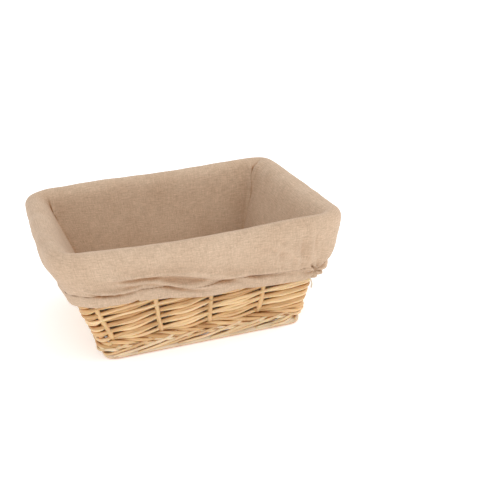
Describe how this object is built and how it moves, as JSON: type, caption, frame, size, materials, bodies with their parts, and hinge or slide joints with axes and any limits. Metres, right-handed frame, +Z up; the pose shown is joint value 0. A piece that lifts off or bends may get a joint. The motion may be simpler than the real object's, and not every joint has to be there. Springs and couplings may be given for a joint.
{
  "type": "bread basket",
  "caption": "Rectangular woven wicker basket with flared sides and a lift-out cloth liner whose elasticated cuff folds over the rim.",
  "frame": {"origin": "middle of the footprint, on the surface the basket stands on", "axes": "+X along the length, -Y towards the front, +Z up"},
  "size_m": [0.24, 0.1904, 0.097],
  "materials": {
    "wicker": "peeled willow rods, semi-matt",
    "pale_wicker": "pale smooth willow rod, semi-matt",
    "cloth": "soft plain-woven cotton, matt",
    "thread": "sewing thread, matt",
    "elastic": "covered elastic, matt"
  },
  "bodies": {
    "basket": {"foot_rod": "pale_wicker", "stake_feet": "pale_wicker", "base_sticks": "wicker", "base_weave_upper": "wicker", "base_weave_lower": "wicker", "wale_lower": "pale_wicker", "wale_upper": "pale_wicker", "weave_row_01": "wicker", "weave_row_02": "wicker", "weave_row_03": "wicker", "weave_row_04": "wicker", "weave_row_05": "wicker", "weave_row_06": "wicker", "weave_row_07": "wicker", "weave_row_08": "wicker", "weave_row_09": "wicker", "weave_row_10": "wicker", "weave_row_11": "wicker", "weave_row_12": "wicker", "stakes_front": "wicker", "stakes_back": "wicker", "stakes_left": "wicker", "stakes_right": "wicker", "corner_stakes": "wicker", "rim_wale": "pale_wicker", "border_outer": "wicker", "border_inner": "wicker", "border_top": "wicker"},
    "liner": {"liner_floor": "cloth", "liner_wall_front": "cloth", "liner_wall_back": "cloth", "liner_wall_left": "cloth", "liner_wall_right": "cloth", "liner_corner_seams": "thread", "rim_fold_front": "cloth", "rim_fold_back": "cloth", "rim_fold_left": "cloth", "rim_fold_right": "cloth", "cuff_front": "cloth", "cuff_back": "cloth", "cuff_left": "cloth", "cuff_right": "cloth", "hem_casing": "cloth", "elastic_band": "elastic", "hem_stitching": "thread", "elastic_tail": "elastic"}
  },
  "joints": [
    {"name": "liner_lift", "type": "slide", "parent": "basket", "child": "liner", "axis": [0, 0, 1], "range_m": [0, 0.13], "deforming": ["cuff_front", "cuff_back", "cuff_left", "cuff_right", "hem_casing", "elastic_band", "hem_stitching", "elastic_tail"]}
  ]
}
